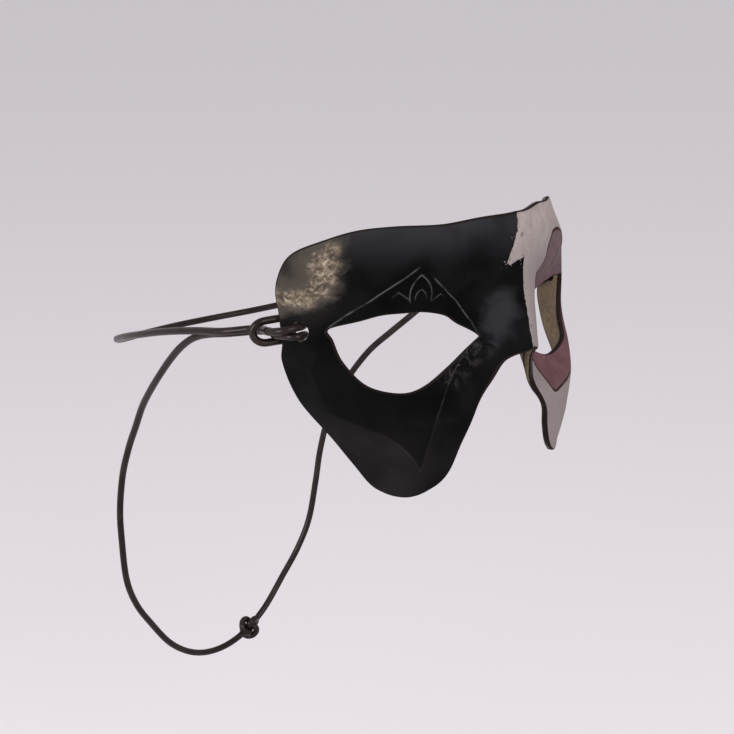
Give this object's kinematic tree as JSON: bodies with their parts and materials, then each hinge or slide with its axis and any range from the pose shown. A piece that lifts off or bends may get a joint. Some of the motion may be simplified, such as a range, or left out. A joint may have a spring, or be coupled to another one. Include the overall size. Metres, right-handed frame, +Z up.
{
  "type": "leather half mask",
  "caption": "Formed leather half mask covering the brow, eyes and upper cheeks, with open eye holes, a nose notch and a round leather cord hitched at the temples.",
  "frame": {"origin": "the leather over the bridge of the nose, level with the inner corners of the eyes, on the plane of symmetry", "axes": "+X towards the wearer's left, +Y from the face into the head, +Z up; the mask faces -Y"},
  "size_m": [0.1642, 0.2243, 0.2473],
  "materials": {
    "dyed_leather": "dyed black and painted cream and maroon, semi gloss",
    "cord_leather": "dark brown, satin"
  },
  "bodies": {
    "root": {"mask_shell": "dyed_leather", "cord_hitch_right": "cord_leather", "cord_hitch_left": "cord_leather", "head_cord": "cord_leather", "nape_cord_right": "cord_leather", "nape_cord_left": "cord_leather", "cord_knot": "cord_leather"}
  },
  "joints": []
}
